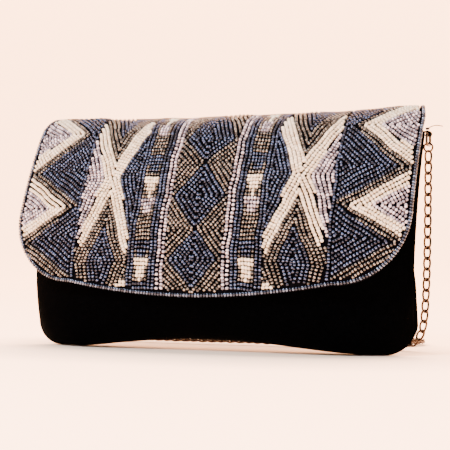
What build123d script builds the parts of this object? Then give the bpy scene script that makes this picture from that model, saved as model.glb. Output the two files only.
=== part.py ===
from build123d import *
from functools import lru_cache
import math
import os

# A beaded flap clutch with a chain strap.  Millimetres, +Z up, the front faces -Y.
# The clutch stands on z = 0, and the origin is under the middle of its box.
#
# The pouch leans back, so it is drawn in a leaning frame: x across the width,
# v up the side seams and n forwards, out of the front.  Curves are lists of (v, n).

# ---- driving dimensions ------------------------------------------------------
BODY_HALF_WIDTH = 129.8
FLAP_HALF_WIDTH = 134.0
LEAN_DEG = 12.0
SEAM_FOOT = (0.0, 1.35, 0.295)

ARCH_HEIGHT = 7.5
ARCH_HALF_SPAN = 100.0
CORNER_RADIUS = 19.0

VELVET = 1.2
STIFFENER = 1.4
LINING = 0.5
FACING = 0.6
LAYER_GAP = 0.25
SEAM_GAP = 0.2

BEADS = 2.6
FLAP_BACKING = 0.7
FLAP_BOARD = 1.0
FLAP_LINING = 0.5
FLAP_GAP = 0.15
EDGE_BEAD_WIDTH = 3.0

# ---- curves that shape the pouch, seen from the side -------------------------
FRONT_MIDDLE = [(0, 0), (-2.6, 12), (4, 27), (20, 36.2), (53, 40.3), (87, 37.7), (119, 29.6), (140, 19)]
BACK_MIDDLE = [(0, 0), (1.3, -4), (8, -8), (30, -11), (70, -12), (110, -10.2), (130, -8.4), (142.4, -7.2)]
SIDE_SEAM = [(0, 0), (4, 1.6), (12, 4.5), (30, 9), (60, 12), (92, 11), (122, 6.5), (140, 2)]

# ---- curves of the flap's beaded face, from its back end over the top --------
FLAP_MIDDLE = [
    (144, -6.2), (149.4, -4.4), (153.2, 1.5), (153.4, 9), (149.4, 19), (143.2, 28),
    (133, 34.6), (119.4, 40), (87, 47.4), (52.7, 50.1), (25.3, 46.8), (12, 44.2),
]
FLAP_SIDE = [
    (144, -6.2), (150.6, -4.6), (155.8, -0.2), (157.2, 6), (152.8, 12.6), (145.4, 18),
    (135.5, 22.6), (122, 27.4), (89.6, 35.4), (55.3, 37.8), (27.9, 34.6), (14.5, 31.6),
]

# ---- flap outline, seen square to the seam plane -----------------------------
FLAP_TOP_HALF_WIDTH = 129.5
FLAP_TOP_V = 165.0
FLAP_SHOULDER_V = 146.0
FLAP_EDGE_V = 25.3
FLAP_CORNER_RADIUS = 45.0
FLAP_CORNER_FOOT = (89.0, 34.6)

# ---- flap outline, seen from above: its back end is drawn in ------------------
FLAP_BACK_HALF_WIDTH = 127.0
FLAP_BACK_N = -8.0
FLAP_TURN_N = 14.0
FLAP_FRONT_N = 80.0

# ---- hinge line of the flap, along x -----------------------------------------
HINGE_V = 143.4
HINGE_N = -7.6

# ---- magnetic snap -----------------------------------------------------------
SNAP_V = 64.0
SOCKET_RADIUS = 9.0
SOCKET_HEIGHT = 2.0
SOCKET_WALL = 0.5
SOCKET_HOLE_RADIUS = 3.6
STUD_RADIUS = 7.0
STUD_PLATE = 0.6
NUB_RADIUS = 2.5
NUB_HEIGHT = 0.9
PRONG_WIDTH = 2.4
PRONG_THICKNESS = 0.5
PRONG_OFFSET = 3.4
WASHER_RADIUS = 7.5
WASHER_THICKNESS = 0.5
WASHER_BED = 0.05

# ---- strap hardware ----------------------------------------------------------
RING_X = 132.2
RING_BAR_V = 139.0
RING_BAR_N = 2.0
RING_WIRE_RADIUS = 0.8
RING_HALF_WIDTH = 4.6
RING_DROP = 7.2
TAB_WIDTH = 6.0
TAB_HOLE_RADIUS = 1.0
TAB_WALL = 0.9
TAB_ROOT_DEPTH = 6.5
END_LINK_RADIUS = 2.7
END_LINK_WIRE = 0.6
KNOT_RADIUS = 1.3

# ---- chain strap -------------------------------------------------------------
CHAIN_DIAMETER = 5.0
CHAIN_ROUTE = [
    (132.2, 28.3, 125.4), (132.0, 28.6, 96.0), (131.4, 29.2, 62.0), (130.2, 30.6, 32.0),
    (127.0, 35.0, 11.0), (117.0, 41.5, 2.6), (90.0, 46.0, 2.6), (50.0, 43.5, 2.6),
    (8.0, 48.0, 2.6), (-36.0, 44.5, 2.6), (-70.0, 46.5, 2.6), (-92.0, 45.5, 2.6),
    (-108.5, 49.5, 2.6), (-119.0, 62.0, 2.6), (-117.5, 78.0, 2.6), (-105.5, 88.5, 2.6),
    (-89.0, 88.0, 2.6), (-64.0, 79.5, 2.6), (-24.0, 77.0, 2.6), (22.0, 69.5, 2.6),
    (60.0, 71.5, 2.6), (86.0, 69.5, 2.6), (103.0, 74.0, 2.6), (113.0, 87.5, 2.6),
    (110.5, 104.0, 2.6), (97.5, 113.5, 2.6), (81.0, 112.0, 2.6), (53.0, 102.5, 2.6),
    (13.0, 104.5, 2.6), (-31.0, 98.5, 2.6), (-70.0, 103.0, 2.6), (-100.0, 99.5, 2.6),
    (-120.0, 87.0, 2.6), (-129.5, 67.0, 2.6), (-130.8, 46.5, 7.0), (-131.6, 36.5, 25.0),
    (-132.2, 31.0, 49.0), (-132.5, 29.2, 76.0), (-132.4, 28.6, 101.0), (-132.2, 28.3, 125.4),
]

SEAM_PLANE = Plane(
    origin=SEAM_FOOT,
    x_dir=(1, 0, 0),
    z_dir=(0, -math.cos(math.radians(LEAN_DEG)), math.sin(math.radians(LEAN_DEG))),
)


def curve(points):
    """A smooth curve through (v, n) points, as a function of the share of its length."""
    line = Spline(*points)
    return lru_cache(maxsize=None)(lambda share: line @ share)


def between(a, b, share):
    return a + (b - a) * share


def smooth_step(value):
    value = min(1.0, max(0.0, value))
    return value * value * (3 - 2 * value)


def bottom_lift(x):
    """How far the bottom seam stands above the floor line: an arch, then round corners."""
    x = abs(x)
    corner_start = BODY_HALF_WIDTH - CORNER_RADIUS
    if x > corner_start:
        return CORNER_RADIUS - math.sqrt(max(0.0, CORNER_RADIUS**2 - (x - corner_start) ** 2))
    if x < ARCH_HALF_SPAN:
        return ARCH_HEIGHT * (1 - (x / ARCH_HALF_SPAN) ** 2) ** 1.5
    return 0.0


def pouch_surface(middle, bluntness, seam_offset):
    """The outer face of one panel: full in the middle, and drawn in to the side seams."""
    middle_curve = curve(middle)
    seam_curve = curve(SIDE_SEAM)

    def surface(u, q):
        centre = middle_curve(q)
        seam = seam_curve(q)
        fullness = 1 - abs(u) ** bluntness(q)
        v = between(seam.X, centre.X, fullness)
        n = between(seam.Y, centre.Y, fullness) + seam_offset
        x = BODY_HALF_WIDTH * u
        lift = bottom_lift(x) * (1 - smooth_step(v / 60)) if v < 60 else 0.0
        return Vector(x, v + lift, n)

    return surface


def front_bluntness(q):
    return between(6.0, 3.0, smooth_step(q / 0.3)) - 0.8 * smooth_step((q - 0.7) / 0.3)


def back_bluntness(q):
    return between(6.0, 3.0, smooth_step(q / 0.3)) + 6.0 * smooth_step((q - 0.7) / 0.3)


def flap_surface():
    """The beaded face of the flap, at the crest of the beads."""
    middle_curve = curve(FLAP_MIDDLE)
    side_curve = curve(FLAP_SIDE)

    def surface(u, q):
        point = between(middle_curve(q), side_curve(q), u * u)
        return Vector(FLAP_HALF_WIDTH * u, point.X, point.Y)

    return surface


def inward(surface, u, q, side):
    """The unit normal of a surface, towards the pouch's inside."""
    step = 2e-3
    along_u = surface(u + step, q) - surface(u - step, q)
    low, high = max(0.0, q - step), min(1.0, q + step)
    along_q = surface(u, high) - surface(u, low)
    return along_u.cross(along_q).normalized() * side


def sheet(surface, side, depth_from, depth_to, u_range, q_range, columns=41, rows=25):
    """A closed sheet between two depths under a surface, trimmed to a patch of it."""
    faces = []
    for depth in (depth_from, depth_to):
        grid = []
        for i in range(columns):
            u = between(u_range[0], u_range[1], i / (columns - 1))
            column = []
            for j in range(rows):
                q = between(q_range[0], q_range[1], j / (rows - 1))
                column.append(surface(u, q) + inward(surface, u, q, side) * depth)
            grid.append(column)
        faces.append(Face.make_surface_from_array_of_points(grid, tol=0.01))
    edge_pairs = zip(faces[0].edges(), faces[1].edges())
    walls = [Face.make_surface_from_curves(a, b) for a, b in edge_pairs]
    return Solid(Shell([*faces, *walls]))


def flap_outline(inset):
    """The flap's outline as a face in the seam plane, drawn in by inset."""
    half = FLAP_HALF_WIDTH - inset
    top_half = FLAP_TOP_HALF_WIDTH - inset
    radius = FLAP_CORNER_RADIUS - inset
    corner_x, corner_foot = FLAP_CORNER_FOOT
    corner_v = corner_foot + FLAP_CORNER_RADIUS
    edge_v = FLAP_EDGE_V + inset
    start = (corner_x, corner_v - radius)
    diagonal = math.radians(-45)
    knee = (corner_x + radius * math.cos(diagonal), corner_v + radius * math.sin(diagonal))
    outline = [
        ThreePointArc((-corner_x, start[1]), (0, edge_v), start),
        ThreePointArc(start, knee, (half, corner_v)),
        Line((half, corner_v), (half, FLAP_SHOULDER_V)),
        Line((half, FLAP_SHOULDER_V), (top_half, FLAP_TOP_V)),
        Line((top_half, FLAP_TOP_V), (-top_half, FLAP_TOP_V)),
        Line((-top_half, FLAP_TOP_V), (-half, FLAP_SHOULDER_V)),
        Line((-half, FLAP_SHOULDER_V), (-half, corner_v)),
        ThreePointArc((-half, corner_v), (-knee[0], knee[1]), (-corner_x, start[1])),
    ]
    return make_face(outline)


def flap_plan(inset):
    """The flap's outline from above as a face, narrower at its back end."""
    half = FLAP_HALF_WIDTH - inset
    back_half = FLAP_BACK_HALF_WIDTH - inset
    right = [(half, FLAP_FRONT_N), (half, FLAP_TURN_N), (back_half, FLAP_BACK_N)]
    left = [(-x, n) for x, n in reversed(right)]
    return make_face(Plane.XZ * Polyline(*right, *left, close=True))


def flap_space(inset):
    """The space inside both of the flap's outlines, which trims the flap's sheets."""
    front = extrude(flap_outline(inset), amount=120, both=True)
    above = extrude(flap_plan(inset), amount=FLAP_TOP_V, both=True)
    return front & above


def flap_layer(surface, depth_from, depth_to, inset, q_start=0.0):
    """One layer of the flap, trimmed to its outline."""
    wide = (FLAP_HALF_WIDTH + 3) / FLAP_HALF_WIDTH
    slab = sheet(surface, 1, depth_from, depth_to, (-wide, wide), (q_start, 1.0), 33, 49)
    return slab & flap_space(inset)


def snap_frame(surface, side, depth):
    """A plane at the snap's height, at a depth under a surface, with z out of the front."""
    steps = 600
    shares = [between(0.3, 0.9, step / steps) for step in range(steps + 1)]
    q = min(shares, key=lambda share: abs(surface(0, share).Y - SNAP_V))
    inwards = inward(surface, 0, q, side)
    return Plane(origin=surface(0, q) + inwards * depth, x_dir=(1, 0, 0), z_dir=-inwards)


def disc(radius, low, high):
    return extrude(Plane.XY.offset(low) * Circle(radius), amount=high - low)


def prongs(low, high):
    """Two flat legs that pass through the cloth and are bent over a washer."""
    legs = Sketch() + [
        Pos(sign * PRONG_OFFSET, 0) * Rectangle(PRONG_THICKNESS, PRONG_WIDTH) for sign in (-1, 1)
    ]
    return extrude(Plane.XY.offset(low) * legs, amount=high - low)


def socket_parts(frame, wall_depth):
    """The snap's socket half: cup with prongs, ring magnet and backing washer."""
    cup = disc(SOCKET_RADIUS, 0, SOCKET_HEIGHT)
    cup = fillet(cup.edges().group_by(Axis.Z)[-1], 0.4)
    cup -= disc(SOCKET_HOLE_RADIUS, SOCKET_WALL, SOCKET_HEIGHT)
    cup -= disc(SOCKET_RADIUS - SOCKET_WALL, SOCKET_WALL, SOCKET_HEIGHT - SOCKET_WALL)
    cup += prongs(-wall_depth - WASHER_THICKNESS - PRONG_THICKNESS, 0)
    feet_z = -wall_depth - WASHER_THICKNESS - PRONG_THICKNESS
    for sign in (-1, 1):
        foot = Pos(sign * (PRONG_OFFSET + 1.2), 0, feet_z + PRONG_THICKNESS / 2)
        cup += foot * Box(2.4 + PRONG_THICKNESS, PRONG_WIDTH, PRONG_THICKNESS)
    clearance = 0.05
    magnet = disc(
        SOCKET_RADIUS - SOCKET_WALL - clearance,
        SOCKET_WALL + clearance,
        SOCKET_HEIGHT - SOCKET_WALL - clearance,
    )
    magnet -= disc(SOCKET_HOLE_RADIUS + 0.3, 0, SOCKET_HEIGHT)
    washer = disc(WASHER_RADIUS, -wall_depth - WASHER_THICKNESS, -wall_depth)
    washer -= prongs(-wall_depth - 1, 1)
    return [frame.location * part for part in (cup, magnet, washer)]


def stud_parts(frame, layer_depth):
    """The snap's stud half: plate with its nub facing the pouch, and backing washer."""
    plate = disc(STUD_RADIUS, -STUD_PLATE, 0)
    nub = disc(NUB_RADIUS, -STUD_PLATE - NUB_HEIGHT, -STUD_PLATE)
    nub = chamfer(nub.edges().group_by(Axis.Z)[0], 0.35)
    washer_top = layer_depth - WASHER_BED
    stud = plate + nub + prongs(0, washer_top)
    washer = disc(WASHER_RADIUS - 1, washer_top - WASHER_THICKNESS, washer_top)
    washer -= prongs(0, layer_depth)
    return [frame.location * part for part in (stud, washer)]


def seam_tape(points, width, thickness):
    """A flat tape laid along a seam, through (x, v, n) points."""
    strips = []
    for start, end in zip(points, points[1:]):
        run = Vector(*end) - Vector(*start)
        middle = (Vector(*end) + Vector(*start)) * 0.5
        level = abs(run.Z) < 0.01
        normal = Vector(0, 0, 1) if level else run.cross(Vector(1, 0, 0))
        flat = Plane(origin=middle, x_dir=run, z_dir=normal)
        strips.append(flat.location * Box(run.length, width, thickness))
    return Part() + strips


def world_point(x, v, n):
    return SEAM_PLANE.from_local_coords(Vector(x, v, n))


def strap_tab(sign):
    """A folded velvet tab, sewn into the side seam, that holds the ring's bar."""
    bar = world_point(RING_X, RING_BAR_V, RING_BAR_N)
    outer = TAB_HOLE_RADIUS + TAB_WALL
    root = Pos(-TAB_ROOT_DEPTH / 2, TAB_HOLE_RADIUS) * Rectangle(TAB_ROOT_DEPTH, 2 * TAB_WALL)
    profile = Circle(outer) + root - Circle(TAB_HOLE_RADIUS)
    loop = extrude(Plane.XZ * profile, amount=TAB_WIDTH / 2, both=True)
    placed = Pos(bar.X, bar.Y, bar.Z) * loop
    return placed if sign > 0 else mirror(placed, about=Plane.YZ)


def d_ring(sign):
    """A wire ring whose straight bar runs front to back through the tab."""
    bar = world_point(RING_X, RING_BAR_V, RING_BAR_N)
    half, drop = RING_HALF_WIDTH, RING_DROP
    bend = 1.6
    path = FilletPolyline(
        (half, 0, 0), (half, -drop, 0), (-half, -drop, 0), (-half, 0, 0),
        radius=bend, close=True,
    )
    upright = Plane(origin=(bar.X * sign, bar.Y, bar.Z), x_dir=(0, 1, 0), z_dir=(1, 0, 0))
    wire = upright.location * path
    start = wire @ 0
    section = Plane(origin=start, z_dir=wire % 0) * Circle(RING_WIRE_RADIUS)
    return sweep(section, path=wire)


def end_link(sign):
    """A round wire link that joins the chain to the ring."""
    bar = world_point(RING_X, RING_BAR_V, RING_BAR_N)
    hang = RING_DROP + END_LINK_RADIUS - RING_WIRE_RADIUS - END_LINK_WIRE - 0.05
    upright = Plane(origin=(bar.X * sign, bar.Y, bar.Z - hang), x_dir=(1, 0, 0), z_dir=(0, 1, 0))
    return upright.location * Torus(END_LINK_RADIUS, END_LINK_WIRE)


def thread_knot(sign):
    """The knotted sewing thread that fastens the tab."""
    bar = world_point(RING_X, RING_BAR_V, RING_BAR_N)
    height = TAB_HOLE_RADIUS + TAB_WALL + KNOT_RADIUS + 0.05
    return Pos((bar.X - 0.6) * sign, bar.Y, bar.Z + height) * Sphere(KNOT_RADIUS)


def corner_radii(route):
    """For each inner point of a route, the arc that its two runs allow."""
    radii = []
    for before, here, after in zip(route, route[1:], route[2:]):
        run_in = Vector(*here) - Vector(*before)
        run_out = Vector(*after) - Vector(*here)
        turn = math.radians(run_in.get_angle(run_out))
        radii.append(0.45 * min(run_in.length, run_out.length) / math.tan(turn / 2))
    return radii


def chain_tube():
    """The strap's envelope along its route: straight runs joined by tangent arcs."""
    radii = corner_radii(CHAIN_ROUTE)
    path = FilletPolyline(*CHAIN_ROUTE, radius=radii)
    section = Plane(origin=path @ 0, z_dir=path % 0) * Circle(CHAIN_DIAMETER / 2)
    tube = sweep(section, path=path)
    expected = math.pi * (CHAIN_DIAMETER / 2) ** 2 * path.length
    print("chain radii", [round(radius) for radius in radii])
    print("chain length", round(path.length), "volume share", round(tube.volume / expected, 4))
    return tube


def pouch_nodes(front, back):
    """The velvet panels and everything sewn inside them, in the leaning frame."""
    stiff_from = VELVET + LAYER_GAP
    lining_from = stiff_from + STIFFENER + LAYER_GAP
    facing_from = lining_from + LINING + LAYER_GAP
    pocket_from = facing_from + FACING + 0.6
    inner = (-0.93, 0.93)
    nodes = {
        "front_panel": sheet(front, -1, 0, VELVET, (-1, 1), (0, 1)),
        "back_panel": sheet(back, 1, 0, VELVET, (-1, 1), (0, 1)),
    }
    for name, surface, side in (("front", front, -1), ("back", back, 1)):
        nodes[f"{name}_stiffener"] = sheet(
            surface, side, stiff_from, stiff_from + STIFFENER, inner, (0.13, 0.985)
        )
        nodes[f"lining_{name}"] = sheet(
            surface, side, lining_from, lining_from + LINING, inner, (0.13, 0.985)
        )
        nodes[f"mouth_facing_{name}"] = sheet(
            surface, side, facing_from, facing_from + FACING, inner, (0.88, 0.985)
        )
    nodes["slip_pocket"] = sheet(
        back, 1, pocket_from, pocket_from + LINING, (-0.52, 0.52), (0.36, 0.78)
    )
    binding_to = pocket_from + LINING + 0.35
    nodes["pocket_binding"] = sheet(
        back, 1, pocket_from - 0.35, binding_to, (-0.52, 0.52), (0.785, 0.815), 21, 5
    )
    return nodes


def tape_nodes():
    """Tapes that hold the side and bottom seams, between the two panels."""
    nodes = {}
    side_x = BODY_HALF_WIDTH - 6.5
    seam_curve = curve(SIDE_SEAM)
    side_points = [seam_curve(share) for share in (0.2, 0.35, 0.5, 0.65, 0.8, 0.93)]
    for name, sign in (("left", -1), ("right", 1)):
        line = [(sign * side_x, point.X, point.Y) for point in side_points]
        nodes[f"seam_tape_{name}"] = seam_tape(line, 5.0, 0.6)
    bottom_points = []
    for x in (-100, -70, -36, 0, 36, 70, 100):
        bottom_points.append((x, bottom_lift(x) + 4.6, 2.5))
    nodes["seam_tape_bottom"] = seam_tape(bottom_points, 4.0, 0.6)
    return nodes


def flap_nodes(surface):
    """The flap's layers from the beads inwards, and the fold that hinges it."""
    backing_from = BEADS + FLAP_GAP
    board_from = backing_from + FLAP_BACKING + FLAP_GAP
    lining_from = board_from + FLAP_BOARD + FLAP_GAP
    lining_to = lining_from + FLAP_LINING
    bead_inset = EDGE_BEAD_WIDTH + FLAP_GAP
    nodes = {
        "bead_field": flap_layer(surface, 0, BEADS, bead_inset),
        "flap_backing": flap_layer(surface, backing_from, backing_from + FLAP_BACKING, bead_inset),
        "flap_stiffener": flap_layer(surface, board_from, board_from + FLAP_BOARD, bead_inset, 0.06),
        "flap_lining": flap_layer(surface, lining_from, lining_to, bead_inset, 0.02),
    }
    rim = flap_space(0) - flap_space(EDGE_BEAD_WIDTH)
    wide = (FLAP_HALF_WIDTH + 3) / FLAP_HALF_WIDTH
    slab = sheet(surface, 1, -0.2, BEADS + 0.6, (-wide, wide), (0.0, 1.0), 33, 49)
    nodes["flap_edge_beading"] = slab & rim
    nodes["flap_fold"] = sheet(surface, 1, -1.0, -0.25, (-0.93, 0.93), (0.03, 0.08), 21, 9)
    return nodes, lining_to


def write(nodes):
    os.makedirs("parts", exist_ok=True)
    low = Vector(1e9, 1e9, 1e9)
    high = Vector(-1e9, -1e9, -1e9)
    for name, solid in nodes.items():
        export_step(solid, f"parts/{name}.step")
        if name in ("chain_strap", "end_link_left", "end_link_right"):
            continue
        box = solid.bounding_box()
        low = Vector(*(min(a, b) for a, b in zip(low, box.min)))
        high = Vector(*(max(a, b) for a, b in zip(high, box.max)))
    print("box without the strap", low, high)


def main():
    front = pouch_surface(FRONT_MIDDLE, front_bluntness, VELVET + SEAM_GAP)
    back = pouch_surface(BACK_MIDDLE, back_bluntness, -VELVET - SEAM_GAP)
    flap = flap_surface()

    leaning = pouch_nodes(front, back)
    leaning.update(tape_nodes())
    flap_layers, flap_depth = flap_nodes(flap)
    leaning.update(flap_layers)

    wall_depth = VELVET + LAYER_GAP + STIFFENER
    socket_frame = snap_frame(front, -1, 0)
    lining_point = snap_frame(flap, 1, flap_depth).origin
    snap_gap = socket_frame.to_local_coords(lining_point).Z
    socket = socket_parts(socket_frame, wall_depth)
    stud = stud_parts(socket_frame.offset(snap_gap), FLAP_LINING + FLAP_GAP + FLAP_BOARD)
    print("snap closed gap", round(snap_gap - STUD_PLATE - SOCKET_HEIGHT, 2))
    for name, solid in zip(("snap_socket", "snap_magnet", "snap_socket_washer"), socket):
        leaning[name] = solid
    for name, solid in zip(("snap_stud", "snap_stud_washer"), stud):
        leaning[name] = solid

    nodes = {name: SEAM_PLANE.location * solid for name, solid in leaning.items()}
    for name, sign in (("left", -1), ("right", 1)):
        nodes[f"strap_tab_{name}"] = strap_tab(sign)
        nodes[f"d_ring_{name}"] = d_ring(sign)
        nodes[f"end_link_{name}"] = end_link(sign)
        nodes[f"thread_knot_{name}"] = thread_knot(sign)
    nodes["chain_strap"] = chain_tube()
    hinge = world_point(0, HINGE_V, HINGE_N)
    print("hinge", hinge)
    write(nodes)


main()
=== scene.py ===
import math
import random

import bmesh
import bpy
import numpy as np
from mathutils import Matrix, Vector

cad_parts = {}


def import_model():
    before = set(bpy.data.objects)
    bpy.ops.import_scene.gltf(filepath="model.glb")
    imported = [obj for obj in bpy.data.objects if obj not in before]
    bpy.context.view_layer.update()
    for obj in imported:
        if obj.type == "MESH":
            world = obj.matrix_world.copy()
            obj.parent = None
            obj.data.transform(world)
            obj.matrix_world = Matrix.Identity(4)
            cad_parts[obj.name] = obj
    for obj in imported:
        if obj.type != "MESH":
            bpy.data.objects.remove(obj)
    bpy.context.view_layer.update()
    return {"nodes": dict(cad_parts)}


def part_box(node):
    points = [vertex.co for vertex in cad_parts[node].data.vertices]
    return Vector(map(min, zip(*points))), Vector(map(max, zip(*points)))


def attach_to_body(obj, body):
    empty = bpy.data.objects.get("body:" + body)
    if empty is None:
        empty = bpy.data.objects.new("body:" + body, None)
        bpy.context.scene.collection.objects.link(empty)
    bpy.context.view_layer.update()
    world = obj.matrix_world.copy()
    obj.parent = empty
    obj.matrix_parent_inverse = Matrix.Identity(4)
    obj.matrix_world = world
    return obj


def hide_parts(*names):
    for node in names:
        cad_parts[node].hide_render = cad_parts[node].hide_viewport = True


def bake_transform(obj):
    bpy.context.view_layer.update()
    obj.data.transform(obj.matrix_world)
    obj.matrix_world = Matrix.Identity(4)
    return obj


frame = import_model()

# A beaded flap clutch.  Shapes are worked out in millimetres and turned into metres
# where a mesh is made.  The pouch leans back, so most shapes are drawn in its leaning
# frame: x across the width, v up the side seams, n forwards, out of the front.

MM = 0.001
SEED = 7

# ---- driving dimensions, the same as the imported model's ----
LEAN = math.radians(12)
FOOT_Y = 1.35
FOOT_Z = 0.295
FLOOR_CLEARANCE = 0.02
BODY_HALF_WIDTH = 129.8
FLAP_HALF_WIDTH = 134
ARCH_HEIGHT = 7.5
ARCH_HALF_SPAN = 100
CORNER_RADIUS = 19
SEAM_OFFSET = 1.4
LINING_DEPTH = 3.1
LINING = 0.5
FACING_DEPTH = 3.85
FACING = 0.6
FACING_TOP_DEPTH = 1.3
INSIDE_HALF_WIDTH = 121.8
POCKET_DEPTH = 5.05
POCKET_HALF_WIDTH = 0.52 * BODY_HALF_WIDTH
BINDING_SWELL = 0.35
VELVET_WRINKLE = 0.5

FRONT_MIDDLE = [(0, 0), (-2.6, 12), (4, 27), (20, 36.2), (53, 40.3), (87, 37.7), (119, 29.6), (140, 19)]
BACK_MIDDLE = [(0, 0), (1.3, -4), (8, -8), (30, -11), (70, -12), (110, -10.2), (130, -8.4), (142.4, -7.2)]
SIDE_SEAM = [(0, 0), (4, 1.6), (12, 4.5), (30, 9), (60, 12), (92, 11), (122, 6.5), (140, 2)]
FLAP_MIDDLE = [
    (144, -6.2), (149.4, -4.4), (153.2, 1.5), (153.4, 9), (149.4, 19), (143.2, 28),
    (133, 34.6), (119.4, 40), (87, 47.4), (52.7, 50.1), (25.3, 46.8), (12, 44.2),
]
FLAP_SIDE = [
    (144, -6.2), (150.6, -4.6), (155.8, -0.2), (157.2, 6), (152.8, 12.6), (145.4, 18),
    (135.5, 22.6), (122, 27.4), (89.6, 35.4), (55.3, 37.8), (27.9, 34.6), (14.5, 31.6),
]
FLAP_SHOULDER_V = 146
FLAP_TOP_V = 165
FLAP_TOP_HALF_WIDTH = 129.5
FLAP_BACK_HALF_WIDTH = 127
FLAP_BACK_N = -8
FLAP_TURN_N = 14
FLAP_EDGE_V = 25.3
FLAP_CORNER_RADIUS = 45
FLAP_CORNER_X = 89
FLAP_CORNER_V = 34.6
FLAP_THICKNESS = 5.25
GROUND_DEPTH = 2.05
GROUND_INSET = 0.9
LINING_INSET = 2.4
FOLD_HALF_WIDTH = 124.5
HINGE_GAP = 0.45
EDGE_WIDTH = 3

CHAIN_ROUTE = [
    (132.2, 28.3, 125.4), (132, 28.6, 96), (131.4, 29.2, 62), (130.2, 30.6, 32), (127, 35, 11),
    (117, 41.5, 2.6), (90, 46, 2.6), (50, 43.5, 2.6), (8, 48, 2.6), (-36, 44.5, 2.6), (-70, 46.5, 2.6),
    (-92, 45.5, 2.6), (-108.5, 49.5, 2.6), (-119, 62, 2.6), (-117.5, 78, 2.6), (-105.5, 88.5, 2.6),
    (-89, 88, 2.6), (-64, 79.5, 2.6), (-24, 77, 2.6), (22, 69.5, 2.6), (60, 71.5, 2.6),
    (86, 69.5, 2.6), (103, 74, 2.6), (113, 87.5, 2.6), (110.5, 104, 2.6), (97.5, 113.5, 2.6),
    (81, 112, 2.6), (53, 102.5, 2.6), (13, 104.5, 2.6), (-31, 98.5, 2.6), (-70, 103, 2.6),
    (-100, 99.5, 2.6), (-120, 87, 2.6), (-129.5, 67, 2.6), (-130.8, 46.5, 7), (-131.6, 36.5, 25),
    (-132.2, 31, 49), (-132.5, 29.2, 76), (-132.4, 28.6, 101), (-132.2, 28.3, 125.4),
]


# ---- curves and surfaces ----
def between(a, b, share):
    return a + (b - a) * share


def smooth_step(value):
    value = np.clip(value, 0, 1)
    return value * value * (3 - 2 * value)


def world(x, v, n):
    """Millimetres in the leaning frame to millimetres in the row frame."""
    y = FOOT_Y + math.sin(LEAN) * v - math.cos(LEAN) * n
    z = FOOT_Z + math.cos(LEAN) * v + math.sin(LEAN) * n
    return np.stack(np.broadcast_arrays(x, y, z), axis=-1)


def run_lengths(points):
    """How far along a line each of its points lies."""
    steps = np.linalg.norm(np.diff(points, axis=0), axis=1)
    return np.concatenate([[0], np.cumsum(steps)])


class Profile:
    """A natural cubic spline through (v, n) points, read by the share of its length."""

    def __init__(self, points, samples=800):
        knots = np.array(points, float)
        chord = np.linalg.norm(np.diff(knots, axis=0), axis=1)
        at = run_lengths(knots)
        count = len(knots)
        system = np.eye(count)
        target = np.zeros((count, 2))
        for i in range(1, count - 1):
            before, after = chord[i - 1], chord[i]
            system[i, i - 1 : i + 2] = before, 2 * (before + after), after
            slopes = (knots[i + 1] - knots[i]) / after - (knots[i] - knots[i - 1]) / before
            target[i] = 6 * slopes
        bend = np.linalg.solve(system, target)
        t = np.linspace(0, at[-1], samples)
        i = np.clip(np.searchsorted(at, t, side="right") - 1, 0, count - 2)
        h = chord[i][:, None]
        a = ((at[i + 1] - t) / chord[i])[:, None]
        b = 1 - a
        cubic = ((a**3 - a) * bend[i] + (b**3 - b) * bend[i + 1]) * h**2 / 6
        self.points = a * knots[i] + b * knots[i + 1] + cubic
        self.lengths = run_lengths(self.points)

    def __call__(self, share):
        at = np.asarray(share) * self.lengths[-1]
        v = np.interp(at, self.lengths, self.points[:, 0])
        n = np.interp(at, self.lengths, self.points[:, 1])
        return v, n


FRONT_CURVE = Profile(FRONT_MIDDLE)
BACK_CURVE = Profile(BACK_MIDDLE)
SEAM_CURVE = Profile(SIDE_SEAM)
FLAP_MIDDLE_CURVE = Profile(FLAP_MIDDLE)
FLAP_SIDE_CURVE = Profile(FLAP_SIDE)


def bottom_lift(x):
    """How far the bottom seam stands above the floor: an arch, then round corners."""
    x = np.abs(x)
    corner_start = BODY_HALF_WIDTH - CORNER_RADIUS
    into = np.clip(x - corner_start, 0, CORNER_RADIUS)
    corner = CORNER_RADIUS - np.sqrt(CORNER_RADIUS**2 - into**2)
    arch = ARCH_HEIGHT * (1 - np.clip(x / ARCH_HALF_SPAN, 0, 1) ** 2) ** 1.5
    return np.where(x > corner_start, corner, arch)


def front_face(x, share):
    return pouch_face(FRONT_CURVE, -0.8, SEAM_OFFSET, x, share)


def back_face(x, share):
    return pouch_face(BACK_CURVE, 6, -SEAM_OFFSET, x, share)


def pouch_face(middle, blunt_mouth, offset, x, share):
    """The outer face of one panel: full in the middle, and drawn in to the side seams."""
    blunt_foot = between(6, 3, smooth_step(share / 0.3))
    blunt = blunt_foot + blunt_mouth * smooth_step((share - 0.7) / 0.3)
    fullness = 1 - np.abs(x / BODY_HALF_WIDTH) ** blunt
    centre_v, centre_n = middle(share)
    seam_v, seam_n = SEAM_CURVE(share)
    v = between(seam_v, centre_v, fullness)
    n = between(seam_n, centre_n, fullness) + offset
    v = v + bottom_lift(x) * (1 - smooth_step(v / 60))
    return world(x, v, n)


def flap_face(x, share):
    """The beaded face of the flap, at the crest of the beads."""
    side = (x / FLAP_HALF_WIDTH) ** 2
    middle_v, middle_n = FLAP_MIDDLE_CURVE(share)
    side_v, side_n = FLAP_SIDE_CURVE(share)
    return world(x, between(middle_v, side_v, side), between(middle_n, side_n, side))


def unit(vectors):
    return vectors / np.maximum(np.linalg.norm(vectors, axis=-1, keepdims=True), 1e-12)


def grid_normals(grid):
    """Unit normals of a grid of points, as first axis cross second axis."""
    return unit(np.cross(np.gradient(grid, axis=0), np.gradient(grid, axis=1)))


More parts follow.
